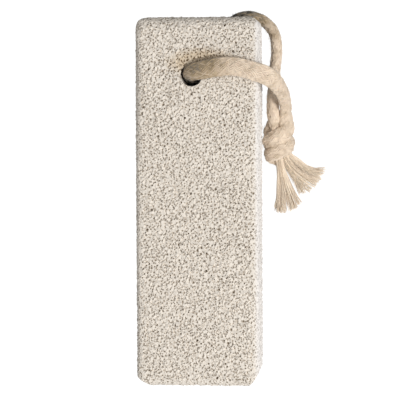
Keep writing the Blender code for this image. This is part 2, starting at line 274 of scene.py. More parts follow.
class Graph:
    """A node tree that is written as expressions on Links."""

    def __init__(self, tree):
        self.tree = tree

    def node(self, kind, settings=None, values=None, output=0):
        """A node of this kind. Its settings are set first, a ramp's stops among them, then its sockets."""
        node = self.tree.nodes.new(kind)
        for key, value in (settings or {}).items():
            if key == "stops":
                ramp = node.color_ramp
                while len(ramp.elements) < len(value):
                    ramp.elements.new(0.5)
                for element, (position, colour) in zip(ramp.elements, value):
                    element.position = position
                    element.color = (*colour, 1.0)
            else:
                setattr(node, key, value)
        self.fill(node, values or {})
        return Link(self, node.outputs[output])

    def fill(self, node, values):
        """Links the node's sockets to these Links, and sets them where the value is a constant."""
        for key, value in values.items():
            if isinstance(value, Link):
                self.tree.links.new(value.socket, node.inputs[key])
            else:
                node.inputs[key].default_value = value


def new_tree(name, settings):
    """A Geometry Nodes tree from a line to a piece, still empty, and its inputs, one for each setting."""
    tree = bpy.data.node_groups.new(name, "GeometryNodeTree")
    tree.interface.new_socket("Line", in_out="INPUT", socket_type="NodeSocketGeometry")
    for socket, value in settings.items():
        kind = {int: "Int", float: "Float", bpy.types.Material: "Material"}[type(value)]
        tree.interface.new_socket(socket, in_out="INPUT", socket_type=f"NodeSocket{kind}")
    tree.interface.new_socket("Piece", in_out="OUTPUT", socket_type="NodeSocketGeometry")
    graph = Graph(tree)
    given = tree.nodes.new("NodeGroupInput")
    return graph, {socket.name: Link(graph, socket) for socket in given.outputs if socket.name}


def tubes(graph, curves, radius, sides, more=None):
    """Closed tubes of this radius along the curves."""
    profile = graph.node("GeometryNodeCurvePrimitiveCircle", {"mode": "RADIUS"},
                         {"Resolution": sides, "Radius": radius})
    return graph.node("GeometryNodeCurveToMesh", {},
                      {"Curve": curves, "Profile Curve": profile, "Fill Caps": True, **(more or {})})


def finished_tree(graph, geometry, material):
    """The tree, which gives this geometry shaded smooth and in this material."""
    smooth = graph.node("GeometryNodeSetShadeSmooth", {}, {"Geometry": geometry})
    painted = graph.node("GeometryNodeSetMaterial", {}, {"Geometry": smooth, "Material": material})
    graph.fill(graph.tree.nodes.new("NodeGroupOutput"), {"Piece": painted})
    return graph.tree


def braid_tree(settings):
    """Geometry Nodes that lay the yarns of a braid round a line, in an oval section of the line's sizes."""
    graph, inputs = new_tree("braid", settings)

    def along_line(name, kind="FLOAT"):
        return graph.node("GeometryNodeInputNamedAttribute", {"data_type": kind}, {"Name": name})

    aside = along_line("aside", "FLOAT_VECTOR")
    above = along_line("above", "FLOAT_VECTOR")
    half_width = along_line("half_width")
    half_height = along_line("half_height")
    turns = along_line("along") / inputs["Pitch"]
    position = graph.node("GeometryNodeInputPosition")
    curve = graph.node("GeometryNodeMeshToCurve", {}, {"Mesh": inputs["Line"]})

    def chance(least, most, seed, index=None):
        """A random number or vector for each place, or for each copy of a curve if its index is given."""
        kind, first, output = ("FLOAT_VECTOR", 0, 0) if isinstance(least, tuple) else ("FLOAT", 2, 1)
        values = {first: least, first + 1: most, "Seed": seed}
        if index is not None:
            values["ID"] = index
        return graph.node("FunctionNodeRandomValue", {"data_type": kind}, values, output)

    def toned(geometry, tone):
        return graph.node("GeometryNodeStoreNamedAttribute", {"data_type": "FLOAT", "domain": "POINT"},
                          {"Geometry": geometry, "Name": "yarn", "Value": tone})

    def swept(curve, copies, offset, radius, sides):
        copied = graph.node("GeometryNodeDuplicateElements", {"domain": "SPLINE"},
                            {"Geometry": curve, "Amount": copies})
        index = Link(graph, copied.socket.node.outputs["Duplicate Index"])
        moved = graph.node("GeometryNodeSetPosition", {}, {"Geometry": copied, "Offset": offset(index)})
        return toned(tubes(graph, moved, radius, sides), chance(0.0, 1.0, 3, index))

    def on_oval(angle, inset):
        return (aside * (angle.maths("COSINE") * (half_width - inset))
                + above * (angle.maths("SINE") * (half_height - inset)))

    def braided(index):
        """Where a yarn of the braid lies. Half of the carriers go round one way and half the other."""
        per_way = inputs["Carriers"] / 2.0
        strand = index % inputs["Yarns per carrier"]
        carrier = (index / inputs["Yarns per carrier"]).maths("FLOOR")
        way = 1.0 - (carrier % 2.0) * 2.0
        number = (carrier / 2.0).maths("FLOOR")
        spread = (strand - (inputs["Yarns per carrier"] - 1.0) / 2.0) / inputs["Yarns per carrier"]
        angle = (number / per_way + way * turns + spread / per_way) * math.tau
        # A carrier crosses another every 1/16 turn. It lies over two, then under two.
        crossings = number * 2.0 + way * (turns * inputs["Carriers"]) - 1.5 + way
        over = (crossings * (math.tau / 4)).maths("COSINE") * way
        uneven = graph.node("ShaderNodeTexNoise", {"noise_dimensions": "4D"},
                            {"Vector": position, "W": index * UNEVEN_STEP, "Scale": UNEVEN_SCALE}) - 0.5
        inset = inputs["Yarn radius"] + inputs["Relief"] * (1.0 - over + uneven * UNEVEN_RELIEF)
        return on_oval(angle + uneven * UNEVEN_TURN, inset)

    def core(index):
        angle = index / inputs["Core yarns"] * math.tau
        return on_oval(angle, inputs["Core yarn radius"] * CORE_INSET)

    def hairs():
        """Short loose fibres that stand out of the cord all round."""
        spread = graph.node("GeometryNodeDuplicateElements", {"domain": "POINT"},
                            {"Geometry": inputs["Line"], "Amount": inputs["Hairs per place"]})
        angle = chance(0.0, math.tau, 5)
        outward = aside * angle.maths("COSINE") + above * angle.maths("SINE")
        shift = chance((-PATH_STEP / 2,) * 3, (PATH_STEP / 2,) * 3, 6)
        spots = graph.node("GeometryNodeSetPosition", {},
                           {"Geometry": spread, "Offset": on_oval(angle, inputs["Yarn radius"]) + shift})
        upright = graph.node("FunctionNodeAlignRotationToVector", {"axis": "Z"}, {"Vector": outward})
        lean = chance((-HAIR_LEAN, -HAIR_LEAN, 0.0), (HAIR_LEAN, HAIR_LEAN, math.tau), 8)
        turned = graph.node("FunctionNodeRotateRotation", {"rotation_space": "LOCAL"},
                            {"Rotation": upright, "Rotate By": lean})
        bent = graph.node("GeometryNodeCurveQuadraticBezier", {},
                          {"Resolution": 2, "Start": (0.0, 0.0, 0.0), "Middle": HAIR_MIDDLE, "End": HAIR_END})
        sized = graph.node("GeometryNodeTransform", {}, {"Geometry": bent, "Scale": inputs["Hair length"]})
        return graph.node("GeometryNodeInstanceOnPoints", {}, {
            "Points": toned(spots, chance(*HAIR_TONES, 7)),
            "Instance": tubes(graph, sized, inputs["Hair radius"], HAIR_SIDES),
            "Rotation": turned, "Scale": chance(*HAIR_SIZES, 9),
        })

    yarns = swept(curve, inputs["Carriers"] * inputs["Yarns per carrier"], braided, inputs["Yarn radius"],
                  YARN_SIDES)
    coarse = graph.node("GeometryNodeResampleCurve", {"mode": "LENGTH"},
                        {"Curve": curve, "Length": 3 * PATH_STEP})
    middle = swept(coarse, inputs["Core yarns"], core, inputs["Core yarn radius"], CORE_SIDES)
    joined = graph.node("GeometryNodeJoinGeometry", {}, {"Geometry": yarns})
    for more in (middle, hairs()):
        graph.tree.links.new(more.socket, joined.socket.node.inputs["Geometry"])
    real = graph.node("GeometryNodeRealizeInstances", {}, {"Geometry": joined})
    # What would sink into the table is lifted onto it.
    below = graph.node("ShaderNodeSeparateXYZ", {}, {"Vector": position}, output="Z") * -1.0
    lift = graph.node("ShaderNodeCombineXYZ", {}, {"Z": below.maths("MAXIMUM", 0.0)})
    on_table = graph.node("GeometryNodeSetPosition", {}, {"Geometry": real, "Offset": lift})
    return finished_tree(graph, on_table, inputs["Cotton"])


def grown(obj, tree, name, settings):
    """The plain mesh that a Geometry Nodes tree makes from an object, as a new piece in its stead."""
    modifier = obj.modifiers.new("grown", "NODES")
    modifier.node_group = tree
    for item in tree.interface.items_tree:
        if item.in_out == "INPUT" and item.name in settings:
            modifier[item.identifier] = settings[item.name]
    mesh = bpy.data.meshes.new_from_object(obj.evaluated_get(bpy.context.evaluated_depsgraph_get()))
    mesh.name = name
    bpy.data.objects.remove(obj, do_unlink=True)
    return new_object(name, mesh)


def new_material(name):
    """A new material, its graph and its shader."""
    material = bpy.data.materials.new(name)
    material.use_nodes = True
    return material, Graph(material.node_tree), material.node_tree.nodes["Principled BSDF"]


def mixed(graph, factor, first, second, way="MIX"):
    """Two colours mixed, each a Link or three numbers."""
    first, second = (colour if isinstance(colour, Link) else (*colour, 1.0) for colour in (first, second))
    return graph.node("ShaderNodeMix", {"data_type": "RGBA", "blend_type": way},
                      {"Factor": factor, "A": first, "B": second}, output="Result")


COTTON_PALE = (0.95, 0.82, 0.655)
COTTON_DEEP = (0.67, 0.525, 0.41)
# What makes a place pale: its yarn, a soft patch and its fibre. The last two have a number to a metre.
YARN_SHARE = 0.35
PATCH_SHARE = 0.55
PATCH_SCALE = 260.0
FIBRE_SHARE = 0.3
FIBRE_SCALE = 3500.0
FIBRE_DEPTH = 0.08 * MM
TONE_DROP = 0.1
# The colours at these amounts of soil and painted shade: rubbed brown soil, then grey painted shade, then
# dark painted shade inside the hole.
COTTON_SOIL_AND_SHADE = ((0.45, (0.36, 0.262, 0.145)), (0.75, (0.25, 0.22, 0.18)), (1.0, (0.06, 0.05, 0.035)))
# How much more soil and painted shade a pale yarn takes, and the least that any takes.
SOIL_AND_SHADE_BY_YARN = 0.8
SOIL_AND_SHADE_LEAST = 0.6
# Faint stains lie all over it, where a noise passes this level.
FAINT_SCALE = 420.0
FAINT_LEVEL = 0.47
FAINT_STRENGTH = 0.9


def cotton_material():
    """Undyed cotton: its yarns a little paler or deeper, with fine fibre, brown where it rubs, and painted
    shade where it lies in the hole, under the stone and behind its top end.
    """
    material, graph, shader = new_material("undyed_cotton")
    place = graph.node("ShaderNodeTexCoord", output="Object")
    yarn = graph.node("ShaderNodeAttribute", {"attribute_name": "yarn"}, output="Fac")
    soil = graph.node("ShaderNodeAttribute", {"attribute_name": "soil"}, output="Fac")
    patches = graph.node("ShaderNodeTexNoise", {}, {"Vector": place, "Scale": PATCH_SCALE, "Detail": 3.0})
    fibre = graph.node("ShaderNodeTexNoise", {}, {"Vector": place, "Scale": FIBRE_SCALE, "Detail": 2.0})
    tone = yarn * YARN_SHARE + patches * PATCH_SHARE + fibre * FIBRE_SHARE - TONE_DROP
    clean = mixed(graph, tone, COTTON_DEEP, COTTON_PALE)
    faint = graph.node("ShaderNodeTexNoise", {}, {"Vector": place, "Scale": FAINT_SCALE, "Detail": 2.0})
    # Soil and painted shade from the rows, with faint stains over all.
    stained_and_shaded = (soil * (yarn * SOIL_AND_SHADE_BY_YARN + SOIL_AND_SHADE_LEAST)
               + (faint - FAINT_LEVEL).maths("MAXIMUM", 0.0) * FAINT_STRENGTH)
    soiled_and_shaded = graph.node("ShaderNodeValToRGB", {"stops": COTTON_SOIL_AND_SHADE}, {"Fac": stained_and_shaded})
    colour = mixed(graph, stained_and_shaded * 2.0, clean, soiled_and_shaded)
    bump = graph.node("ShaderNodeBump", {}, {"Height": fibre, "Strength": 0.5, "Distance": FIBRE_DEPTH})
    graph.fill(shader, {"Base Color": colour, "Normal": bump, "Roughness": 0.9, "Specular IOR Level": 0.2,
                        "Sheen Weight": 0.4, "Sheen Roughness": 0.5})
    return material


cotton = cotton_material()
braid_sizes = {
    "Carriers": CARRIERS, "Yarns per carrier": YARNS_PER_CARRIER, "Yarn radius": YARN_RADIUS,
    "Pitch": BRAID_PITCH, "Relief": BRAID_RELIEF,
    "Core yarns": CORE_YARNS, "Core yarn radius": CORE_YARN_RADIUS,
    "Hairs per place": HAIRS_PER_PLACE, "Hair length": HAIR_LENGTH, "Hair radius": HAIR_RADIUS,
    "Cotton": cotton,
}
braid = braid_tree(braid_sizes)
for leg_name, leg_rows, flat_place, knot_wraps in (
    ("cord_front_leg", FRONT_LEG, FRONT_FLAT_PLACE, True),
    ("cord_back_leg", BACK_LEG, BACK_FLAT_PLACE, False),
):
    leg_line, leg_path, leg_length = cord_line(leg_name, leg_rows, flat_place, knot_wraps)
    leg = grown(leg_line, braid, leg_name, braid_sizes)
    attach(leg, "root")

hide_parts("cord_loop", "cord_knot")
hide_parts("cord_loop", "cord_knot")


# ---- The frayed ends ----
# Past the knot both ends are cut square and have opened into their plies, each a loose bundle of cotton
# yarns that spreads into a brush. They lie on the table and bear on it.

# The outline of each end from the knot to the cut, in millimetres: its left side, its right side and the
# cut. Along it go the height of its middle and half its thickness.
LOWER_END = {
    "left": ((24.5, 14.5), (24.9, 11.9), (25.1, 8.5), (25.1, 4.5), (24.7, 0.6), (23.9, -3.3)),
    "right": ((26.9, 14.8), (27.0, 11.6), (28.3, 8.2), (29.7, 4.7), (31.5, 1.4), (33.4, -1.0)),
    "cut": ((23.9, -3.3), (24.8, -4.3), (26.1, -4.8), (27.8, -4.4), (30.0, -3.7), (32.2, -2.6), (33.4, -1.0)),
    "height": (4.6, 3.4, 2.6, 2.2, 1.8, 1.5),
    "thickness": (1.2, 1.7, 1.6, 1.4, 1.2, 1.1),
}
RIGHT_END = {
    "left": ((26.2, 15.6), (26.9, 13.0), (28.1, 10.2), (29.7, 7.4), (31.3, 4.5), (32.9, 1.4)),
    "right": ((28.6, 16.8), (30.7, 15.1), (33.0, 13.6), (35.2, 12.0), (37.6, 10.9), (40.9, 11.4)),
    "cut": ((32.9, 1.4), (34.6, 2.0), (36.6, 3.2), (38.4, 4.9), (40.0, 6.6), (40.3, 7.8), (39.9, 8.7),
            (41.2, 9.6), (41.5, 11.4)),
    "height": (4.8, 3.8, 2.8, 2.3, 1.9, 1.5),
    "thickness": (1.2, 1.7, 1.6, 1.4, 1.2, 1.1),
}
PLY_COLUMNS = 5
PLY_LAYERS = 3
PLY_RADIUS = 0.42
PLY_TWIST = 5.0
# How far a ply can be from its even place, drift and sway, as shares of the end's width, and how much of
# the end's length it and its yarns can have.
PLY_SHIFT = 0.2
PLY_DRIFT = 0.07
PLY_SWAY = (0.02, 0.07)
PLY_REACH = (0.97, 1.0)
YARN_REACH = (0.95, 1.0)
LAYER_HEIGHT = 0.62
YARNS_PER_PLY = 9
END_YARN_RADIUS = 0.15
END_SIDES = 5
END_STEPS = 26
YARN_STRAY = 0.16
LOOSE_FIBRES = 260
LOOSE_FIBRE_RADIUS = 0.045
FIBRE_DRIFT = 0.12
FIBRE_STRAY = 0.25
FIBRE_LEVELS = (-1.0, 1.15)
FIBRE_REACH = (0.8, 1.03)
TABLE_GAP = 0.03
# How pale a ply is at least, how much more it can be, and how much its yarns differ.
PLY_TONES = (0.7, 1.6, 0.3)
# How soiled a ply can be. Below none at all keeps the stains of the cord off it.
PLY_SOILS = (-0.12, -0.12, -0.03, 0.07)


def along_points(points, shares):
    """The places at these shares of the way along a line of points."""
    points = np.array(points, float).reshape(len(points), -1)
    stops = np.linspace(0, 1, len(points))
    return np.stack([np.interp(shares, stops, column) for column in points.T], axis=1)


def frayed_lines(outline, seed):
    """The yarns and loose fibres of one end: the points of each, its radii, its tone and its soil."""
    rng = np.random.default_rng(seed)
    shares = np.linspace(0, 1, END_STEPS)
    left, right = along_points(outline["left"], shares), along_points(outline["right"], shares)
    height = along_points(outline["height"], shares)[:, 0]
    thickness = along_points(outline["thickness"], shares)[:, 0]

    def laid(across, level, reach):
        """A line at this share across the end and this level in its thickness, which stops at `reach`."""
        flat = left * (1 - across[:, None]) + right * across[:, None]
        short = along_points(outline["cut"], across[-1:])[0] - flat[-1]
        flat = flat + short * (shares**3)[:, None]
        room = np.sqrt(np.clip(1 - (2 * across - 1)**2, 0.08, 1))
        points = np.column_stack([flat, height + level * thickness * room])
        return along_points(points, shares * reach)

    lines = []
    plies = []
    for k in range(PLY_COLUMNS * PLY_LAYERS):
        across = (k % PLY_COLUMNS + 0.5 + rng.uniform(-PLY_SHIFT, PLY_SHIFT)) / PLY_COLUMNS
        plies.append((across, k // PLY_COLUMNS - 1 + rng.uniform(-PLY_SHIFT, PLY_SHIFT)))
    for across, level in plies:
        drift = rng.normal(0, PLY_DRIFT)
        sway, phase = rng.uniform(*PLY_SWAY), rng.uniform(0, math.tau)
        swayed = sway * np.sin(phase + shares * rng.uniform(4, 8))
        middle = np.clip(across + drift * shares**1.5 + swayed, 0.05, 0.95)
        reach = rng.uniform(*PLY_REACH)
        line = laid(middle, level * LAYER_HEIGHT + 0.12 * np.sin(phase + shares * 5), reach)
        ahead = unit(np.gradient(line, axis=0))
        aside = unit(np.cross(ahead, np.array((0.0, 0.0, 1.0))))
        above = np.cross(aside, ahead)
        tone = rng.random()
        soil = rng.choice(PLY_SOILS)
        for yarn in range(YARNS_PER_PLY):
            # The first yarn is the ply's middle, and the others turn round it.
            out = 0 if yarn == 0 else rng.uniform(0.8, 1.1)
            spread = PLY_RADIUS * (0.75 + 1.1 * shares**2) * out
            turn = math.tau * yarn / (YARNS_PER_PLY - 1) + PLY_TWIST * shares * (1 - 0.4 * shares) + phase
            stray = rng.normal(0, YARN_STRAY, 2)
            points = (line + aside * (spread * np.cos(turn) + stray[0] * shares**3)[:, None]
                      + above * (spread * np.sin(turn) + stray[1] * shares**3)[:, None])
            points = along_points(points, shares * rng.uniform(*YARN_REACH))
            radii = END_YARN_RADIUS * (1 - 0.45 * shares**3)
            least, more, apart = PLY_TONES
            lines.append((points, radii, least + tone * more + rng.random() * apart, soil))
    for _ in range(LOOSE_FIBRES):
        across = rng.uniform(0, 1)
        middle = across + rng.normal(0, FIBRE_DRIFT) * shares**2 + rng.normal(0, 0.02) * np.sin(shares * 9)
        level = np.full(END_STEPS, rng.uniform(*FIBRE_LEVELS))
        line = laid(np.clip(middle, -0.02, 1.02), level, rng.uniform(*FIBRE_REACH))
        line = line + rng.normal(0, FIBRE_STRAY, 3) * (shares**2)[:, None]
        lines.append((line, LOOSE_FIBRE_RADIUS * (1 - 0.5 * shares), 1.0 + rng.random(), PLY_SOILS[0]))
    for points, radii, _, _ in lines:
        points[:, 2] = np.maximum(points[:, 2], radii + TABLE_GAP)
    return lines


def fibres_tree(settings):
    """Geometry Nodes that give every line of a mesh its own thickness."""
    graph, inputs = new_tree("fibres", settings)
    thickness = graph.node("GeometryNodeInputNamedAttribute", {"data_type": "FLOAT"}, {"Name": "thickness"})
    curves = graph.node("GeometryNodeMeshToCurve", {}, {"Mesh": inputs["Line"]})
    mesh = tubes(graph, curves, 1.0, inputs["Sides"], {"Scale": thickness})
    real = graph.node("GeometryNodeRealizeInstances", {}, {"Geometry": mesh})
    return finished_tree(graph, real, inputs["Cotton"])


end_sizes = {"Sides": END_SIDES, "Cotton": cotton}
fibres = fibres_tree(end_sizes)
for end_name, replaced, outline, seed in (("frayed_yarns_lower", "frayed_end_lower", LOWER_END, 21),
                                          ("frayed_yarns_right", "frayed_end_right", RIGHT_END, 22)):
    line_points, line_radii, line_tones, line_soils = zip(*frayed_lines(outline, seed))
    line_mesh = bpy.data.meshes.new(end_name)
    starts = range(0, len(line_points) * END_STEPS, END_STEPS)
    line_mesh.from_pydata((np.concatenate(line_points) * MM).tolist(),
                          [(start + i, start + i + 1) for start in starts for i in range(END_STEPS - 1)], [])
    set_attribute(line_mesh, "thickness", np.concatenate(line_radii) * MM)
    set_attribute(line_mesh, "yarn", np.repeat(line_tones, END_STEPS))
    set_attribute(line_mesh, "soil", np.repeat(line_soils, END_STEPS))
    end = grown(new_object(end_name, line_mesh), fibres, end_name, end_sizes)
    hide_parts(replaced)
    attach(end, "root")


# ---- The pumice stone ----
# A block sawn from natural pumice and tumbled until its edges are round. Gas bubbles left open pores all
# over it, in many sizes, with sharp pale grains between them. The hole for the cord is drilled through near
# one end.

# Half the block's sides in millimetres, and how far its middle is from that of its box.
STONE_HALF = np.array((20.05, 60.3, 11.9))
STONE_ASIDE = -0.1
STONE_SEED = 5
EDGE_RADIUS = 2.0
EDGE_STEP = 0.55
# Where points lie on a rounded edge, as shares of its radius, and how far the wear moves them.
EDGE_ROWS = (0.3, 0.62, 1.0)
EDGE_WEAR = 0.28
# Where the faces round off softly: the axis, the side, how deep, from how far in, and past which place.
SOFT_SIDES = (
    (0, 1, 0.4, 4.0, -90.0),
    (1, 1, 1.8, 4.8, -90.0),
    (1, -1, 0.5, 3.0, -90.0),
    (0, -1, 0.8, 2.7, 15.0),
)
SOFT_FADE = 25.0
# The round corners at the hole's end, then the worn ones: the side, and what is gone across and along.
ROUND_CORNERS = {-1: 3.4, 1: 2.8}
WORN_CORNERS = ((-1, 3.9, 2.8), (1, 3.1, 4.4))
WEAR_SHARE = 0.85
HOLE_CENTRE = np.array((-1.65, 41.4))
HOLE_RADIUS = 3.6
HOLE_CHAMFER = 0.3
HOLE_SIDES = 56
HOLE_STEP = 0.6
HOLE_ROUGHNESS = 0.1
HOLE_LIP_TURNS = (0.0, 0.5, 1.05)
# How much of the hole's wall is cut pores, how much brown shade is painted in them, and how deep.
HOLE_PORES = 0.22
HOLE_PORE_SHADES = (0.5, 1.0)
HOLE_PORE_DEPTH = 0.5
# Each size of pore: its least and greatest radius, how many to a square centimetre, and its corners.
PORE_SIZES = ((0.5, 0.6, 1.0, 7), (0.32, 0.45, 34, 6), (0.17, 0.26, 44, 5))
PORE_GAP = 0.2
PORE_CELL = 0.1
# How uneven a pore's rim is, and its depth and the shift of its lowest point for its radius.
PORE_UNEVEN = (0.82, 1.18)
PORE_DEPTH = (1.1, 1.9)
PORE_OFF_CENTRE = 0.15
# A pore with this many corners has a ring of fewer of them inside it: its size, turn, depth and painted
# shade.
RINGED_CORNERS = 7
RING_FEWER = 3
RING_SIZE = 0.6
RING_TURN = 0.3
RING_DEPTH = (0.55, 0.85)
RING_SHADE = 0.75
RINGED_DEPTH = 1.1
GRAIN_HEIGHT = 0.17
# The surface swells and sinks in waves: the height and the number in a millimetre of each size of wave.
SWELLS = ((0.07, 0.2), (0.06, 1.1))
EDGE_CALM = 0.45
# The block's six faces: the axis that each looks along, which way, and the two axes across it,
# right-handed.
BLOCK_FACES = ((2, 1, 0, 1), (2, -1, 1, 0), (0, 1, 1, 2), (0, -1, 2, 1), (1, 1, 2, 0), (1, -1, 0, 2))


def circle(centre, radius, sides, start=0.0):
    turns = start + math.tau * np.arange(sides) / sides
    return centre + radius * np.stack([np.cos(turns), np.sin(turns)], axis=1)


def edge_stations(half):
    """The places of the points along one side of a face, closer together on the rounded edges."""
    flat = half - EDGE_RADIUS
    inner = np.linspace(-flat, flat, round(2 * flat / EDGE_STEP) + 1)
    turn = flat + EDGE_RADIUS * np.array(EDGE_ROWS)
    return np.concatenate([-turn[::-1], inner, turn])


def scatter_pores(half_a, half_b, holes, rng):
    """Pores on a face as (a, b, radius, corners), none touching. The small ones fill what is left."""
    shape = (int(2 * half_a / PORE_CELL), int(2 * half_b / PORE_CELL))
    pores = []
    for least, most, per_area, corners in PORE_SIZES:
        taken = np.zeros(shape, bool)

        def claim(a, b, reach):
            lows = [max(0, int((c + half - reach) / PORE_CELL)) for c, half in ((a, half_a), (b, half_b))]
            highs = [int((c + half + reach) / PORE_CELL) + 1 for c, half in ((a, half_a), (b, half_b))]
            patch = taken[lows[0]:highs[0], lows[1]:highs[1]]
            far_a = (np.arange(patch.shape[0]) + lows[0] + 0.5) * PORE_CELL - half_a - a
            far_b = (np.arange(patch.shape[1]) + lows[1] + 0.5) * PORE_CELL - half_b - b
            patch |= far_a[:, None]**2 + far_b[None, :]**2 < reach**2

        for a, b, radius, _ in [*pores, *holes]:
            claim(a, b, radius + PORE_GAP + most)
        edge = int((most + PORE_GAP) / PORE_CELL)
        wanted = round(4 * half_a * half_b * per_area / 100)
        for place in rng.permutation(taken.size):
            if wanted == 0:
                break
            i, j = divmod(int(place), shape[1])
            if taken[i, j] or not (edge <= i < shape[0] - edge and edge <= j < shape[1] - edge):
                continue
            radius = rng.uniform(least, most)
            spot = ((i + 0.5) * PORE_CELL - half_a, (j + 0.5) * PORE_CELL - half_b)
            claim(*spot, radius + PORE_GAP + (least + most) / 2)
            pores.append((*spot, radius, corners))
            wanted -= 1
    return pores


class StoneSurface:
    """The points of the stone's surface: where each is, the way out of the stone there, how far it is pushed
    out or in, and how deep in a pore it lies, which sets the shade painted there. Faces share the points on
    their common edges."""

    def __init__(self):
        self.spots, self.outwards, self.pushes, self.depths, self.triangles = [], [], [], [], []
        self.shared = {}

    def add(self, spots, outwards, pushes, depths):
        first = len(self.spots)
        self.spots.extend(spots)
        self.outwards.extend(outwards)
        self.pushes.extend(pushes)
        self.depths.extend(depths)
        return list(range(first, len(self.spots)))

    def add_on_block(self, sharp, pushes, depths, joined=False):
        """Points of the sharp block, on the rounded one. Joined ones are made once for all faces."""
        core = np.clip(sharp, EDGE_RADIUS - STONE_HALF, STONE_HALF - EDGE_RADIUS)
        outwards = unit(sharp - core)
        spots = core + outwards * EDGE_RADIUS
        if not joined:
            return self.add(spots, outwards, pushes, depths)
        found = []
        for i, key in enumerate(map(tuple, np.round(sharp, 4))):
            if key not in self.shared:
                one = slice(i, i + 1)
                self.shared[key] = self.add(spots[one], outwards[one], pushes[one], depths[one])[0]
            found.append(self.shared[key])
        return found

    def bridge(self, ring, following):
        """Triangles between two rings of as many points."""
        count = len(ring)
        for i in range(count):
            j = (i + 1) % count
            self.triangles.append((ring[i], ring[j], following[j]))
            self.triangles.append((ring[i], following[j], following[i]))


def pore_points(pores, rng):
    """The flat places, pushes and depths of the points that make one face's pores."""
    flats, pushes, depths = [], [], []
    for a, b, radius, corners in pores:
        centre = np.array((a, b))
        start = rng.uniform(0, math.tau)
        uneven = rng.uniform(*PORE_UNEVEN, corners)[:, None]
        flats.extend(centre + circle(0, radius, corners, start) * uneven)
        pushes.extend(rng.normal(0, GRAIN_HEIGHT, corners))
        depths.extend([0.0] * corners)
        depth = radius * rng.uniform(*PORE_DEPTH)
        if corners >= RINGED_CORNERS:
            inner = corners - RING_FEWER
            flats.extend(centre + circle(0, radius * RING_SIZE, inner, start + RING_TURN))
            pushes.extend(-depth * rng.uniform(*RING_DEPTH, inner))
            depths.extend([RING_SHADE] * inner)
            depth *= RINGED_DEPTH
        flats.append(centre + rng.uniform(-PORE_OFF_CENTRE, PORE_OFF_CENTRE, 2) * radius)
        pushes.append(-depth)
        depths.append(1.0)
    return np.array(flats), pushes, depths


def build_face(surface, axis, way, across_a, across_b, hole_ring, rng):
    """One face of the block, its pores joined up by triangles. It is open inside the hole's ring, if any."""
    half_a, half_b = STONE_HALF[across_a], STONE_HALF[across_b]
    along_a, along_b = edge_stations(half_a), edge_stations(half_b)
    border = np.array([*((a, -half_b) for a in along_a[:-1]), *((half_a, b) for b in along_b[:-1]),
                       *((a, half_b) for a in along_a[:0:-1]), *((-half_a, b) for b in along_b[:0:-1])])

    def sharp(flats):
        points = np.zeros((len(flats), 3))
        points[:, axis] = way * STONE_HALF[axis]
        points[:, across_a] = flats[:, 0]
        points[:, across_b] = flats[:, 1]
        return points

    wear = rng.normal(-EDGE_WEAR / 3, EDGE_WEAR / 3, len(border))
    indices = surface.add_on_block(sharp(border), wear, [0.0] * len(border), joined=True)
    flats = [border]
    edges = [(i, (i + 1) % len(border)) for i in range(len(border))]
    holes = []
    if hole_ring:
        ring_flats = np.array([surface.spots[i][[across_a, across_b]] for i in hole_ring])
        if way < 0:
            ring_flats, hole_ring = ring_flats[::-1], hole_ring[::-1]
        first = len(indices)
        edges += [(first + i, first + (i + 1) % len(hole_ring)) for i in range(len(hole_ring))]
        indices += hole_ring
        flats.append(ring_flats)
        holes.append((*ring_flats.mean(axis=0), HOLE_RADIUS + HOLE_CHAMFER, 0))
    pore_flats, pushes, depths = pore_points(scatter_pores(half_a, half_b, holes, rng), rng)
    indices += surface.add_on_block(sharp(pore_flats), pushes, depths)
    flats = np.concatenate([*flats, pore_flats])
    _, _, triangles, origins, *_ = delaunay_2d_cdt([Vector(f) for f in flats.tolist()], edges, [], 0, 1e-6)
    for triangle in triangles:
        corners = [origins[i][0] for i in triangle]
        middle = flats[corners].mean(axis=0)
        if all(math.dist(middle, hole[:2]) > hole[2] for hole in holes):
            surface.triangles.append([indices[i] for i in corners])


def build_hole(surface, rng):
    """The wall of the hole from the front's rim to the back's, with a rounded lip at both."""
    steps = round(2 * (STONE_HALF[2] - HOLE_CHAMFER) / HOLE_STEP)
    wall = np.linspace(STONE_HALF[2] - HOLE_CHAMFER, HOLE_CHAMFER - STONE_HALF[2], steps + 1)
    lip = [(HOLE_CHAMFER * (1 - math.sin(t)), HOLE_CHAMFER * (1 - math.cos(t))) for t in HOLE_LIP_TURNS]
    levels = [*((STONE_HALF[2] - down, out) for out, down in lip), *((z, 0.0) for z in wall),
              *((down - STONE_HALF[2], out) for out, down in reversed(lip))]
    rings = []
    for z, out in levels:
        flats = circle(HOLE_CENTRE, HOLE_RADIUS + out, HOLE_SIDES)
        inwards = unit(HOLE_CENTRE - flats)
        rise = math.sqrt(max(0.0, 1 - (1 - out / HOLE_CHAMFER)**2)) * np.sign(z)
        outwards = np.column_stack([inwards * math.sqrt(1 - rise**2), np.full(HOLE_SIDES, rise)])
        depths = (rng.random(HOLE_SIDES) < HOLE_PORES) * rng.uniform(*HOLE_PORE_SHADES, HOLE_SIDES)
        pushes = rng.normal(0, HOLE_ROUGHNESS, HOLE_SIDES) - depths * HOLE_PORE_DEPTH
        rings.append(surface.add(np.column_stack([flats, np.full(HOLE_SIDES, z)]), outwards, pushes, depths))
    for ring, following in zip(rings, rings[1:]):
        surface.bridge(ring, following)
    return rings[0], rings[-1]


def worn(points):
    """The points with the two corners of the plain end rubbed off and those of the other end rounded."""
    for side, across, along in WORN_CORNERS:
        slope = unit(np.array((side * along, -across, 0.0)))
        past = points @ slope - slope @ (side * (STONE_HALF[0] - across), -STONE_HALF[1], 0)
        points = points - slope * np.clip(past, 0, None)[:, None] * WEAR_SHARE
    for side, radius in ROUND_CORNERS.items():
        centre = np.array((side * (STONE_HALF[0] - radius), STONE_HALF[1] - radius))
        reach = points[:, :2] - centre
        inside = (reach[:, 0] * side > 0) & (reach[:, 1] > 0)
        far = np.maximum(np.linalg.norm(reach, axis=1), radius)
        points[inside, :2] = (centre + reach * (radius / far)[:, None])[inside]
    return points


